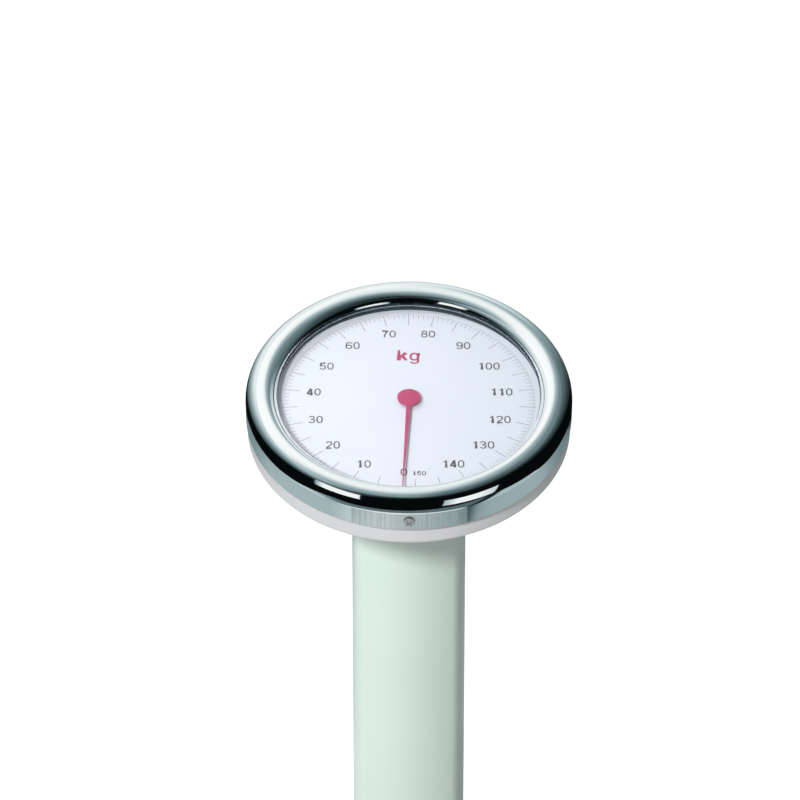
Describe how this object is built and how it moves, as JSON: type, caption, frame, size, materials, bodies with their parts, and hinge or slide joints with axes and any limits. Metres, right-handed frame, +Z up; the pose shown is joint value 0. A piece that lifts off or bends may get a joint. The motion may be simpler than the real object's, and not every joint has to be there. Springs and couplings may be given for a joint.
{
  "type": "mechanical column scale",
  "caption": "Personal weighing scale: tilted round dial head with polished bezel on a painted column, over a low platform carried on levers inside the base.",
  "frame": {"origin": "on the floor, at the centre of the footprint", "axes": "+Z up, -Y towards the person who stands on the platform, +X to their right"},
  "size_m": [0.32, 0.5, 0.9719],
  "materials": {
    "chrome": "polished",
    "satin_steel": "satin",
    "plated_steel": "zinc plated",
    "brass": "turned",
    "column_paint": "satin powder coat",
    "housing_paint": "satin paint",
    "base_paint": "satin powder coat",
    "dial_face": "printed, matt white",
    "pointer_red": "crimson lacquer",
    "window": "clear",
    "rubber": "matt",
    "mat_rubber": "ribbed, matt",
    "lever_iron": "as cast"
  },
  "bodies": {
    "frame": {"base_frame": "base_paint", "bezel_ring": "chrome", "bezel_screw_1": "plated_steel", "bezel_screw_2": "plated_steel", "bezel_screw_3": "plated_steel", "column_bolt_1": "plated_steel", "column_bolt_2": "plated_steel", "column_bolt_3": "plated_steel", "column_bolt_4": "plated_steel", "column_foot": "base_paint", "column_tube": "column_paint", "crank_pin": "plated_steel", "damper_cylinder": "brass", "dial_plate": "dial_face", "dial_spacer": "satin_steel", "foot_pad_1": "rubber", "foot_pad_2": "rubber", "foot_pad_3": "rubber", "foot_pad_4": "rubber", "foot_screw_1": "plated_steel", "foot_screw_2": "plated_steel", "foot_screw_3": "plated_steel", "foot_screw_4": "plated_steel", "fulcrum_bearing_1": "plated_steel", "fulcrum_bearing_2": "plated_steel", "fulcrum_bearing_3": "plated_steel", "fulcrum_bearing_4": "plated_steel", "head_bracket": "plated_steel", "head_housing": "housing_paint", "main_spring": "plated_steel", "movement_bridge": "brass", "movement_plate": "brass", "rack_guide": "plated_steel", "shaft_bush_lower": "plated_steel", "shaft_bush_upper": "plated_steel", "window_glass": "window", "window_seal": "rubber"},
    "platform": {"platform_plate": "base_paint", "platform_mat": "mat_rubber", "platform_saddle_1": "plated_steel", "platform_saddle_2": "plated_steel", "platform_saddle_3": "plated_steel", "platform_saddle_4": "plated_steel"},
    "long_lever": {"long_lever": "lever_iron", "long_fulcrum_knife": "plated_steel", "long_load_knife": "plated_steel"},
    "short_lever": {"short_lever": "lever_iron", "short_fulcrum_knife_left": "plated_steel", "short_fulcrum_knife_right": "plated_steel", "short_load_knife_left": "plated_steel", "short_load_knife_right": "plated_steel"},
    "link": {"lever_link": "plated_steel"},
    "draft_rod": {"draft_rod": "plated_steel", "damper_piston": "brass"},
    "crank": {"bell_crank": "plated_steel"},
    "rack": {"rack": "brass"},
    "pointer": {"pointer": "pointer_red", "pinion_shaft": "brass"},
    "zero_knob": {"zero_knob": "rubber", "zero_shaft": "plated_steel"}
  },
  "joints": [
    {"name": "platform_slide", "type": "slide", "parent": "frame", "child": "platform", "axis": [0, 0, -1], "range_m": [0, 0.00294]},
    {"name": "long_lever_pivot", "type": "hinge", "parent": "frame", "child": "long_lever", "pos_m": [0, -0.205, 0.05], "axis": [-1, 0, 0], "range_deg": [0, 5.27]},
    {"name": "short_lever_pivot", "type": "hinge", "parent": "frame", "child": "short_lever", "pos_m": [0, -0.01505, 0.05], "axis": [1, 0, 0], "range_deg": [0, 5.27]},
    {"name": "link_drop", "type": "slide", "parent": "frame", "child": "link", "axis": [0, 0, -1], "range_m": [0, 0.00873]},
    {"name": "draft_rod_slide", "type": "slide", "parent": "frame", "child": "draft_rod", "axis": [0, 0, -1], "range_m": [0, 0.02596], "stiffness_N_per_m": 6470, "springref_m": -0.003, "deforming": ["main_spring"]},
    {"name": "bell_crank_pivot", "type": "hinge", "parent": "frame", "child": "crank", "pos_m": [0, 0.12145, 0.84862], "axis": [1, 0, 0], "range_deg": [0, 32.87]},
    {"name": "rack_slide", "type": "slide", "parent": "frame", "child": "rack", "axis": [0, -0.9397, -0.342], "range_m": [0, 0.02596]},
    {"name": "pointer_spin", "type": "hinge", "parent": "frame", "child": "pointer", "pos_m": [0, 0.09945, 0.905], "axis": [0, -0.342, 0.9397], "range_deg": [-354.09, 0]},
    {"name": "zero_knob_turn", "type": "hinge", "parent": "frame", "child": "zero_knob", "pos_m": [0, 0.09945, 0.745], "axis": [0, 1, 0], "range_deg": [-30, 30]}
  ],
  "couplings": [
    {"joint": "long_lever_pivot", "follows": "platform_slide", "rad_per_m": 31.243},
    {"joint": "short_lever_pivot", "follows": "platform_slide", "rad_per_m": 31.243},
    {"joint": "link_drop", "follows": "platform_slide", "ratio": 2.9674},
    {"joint": "draft_rod_slide", "follows": "platform_slide", "ratio": 8.8247},
    {"joint": "bell_crank_pivot", "follows": "platform_slide", "rad_per_m": 195.03},
    {"joint": "rack_slide", "follows": "platform_slide", "ratio": 8.8247},
    {"joint": "pointer_spin", "follows": "platform_slide", "rad_per_m": -2101.1}
  ]
}
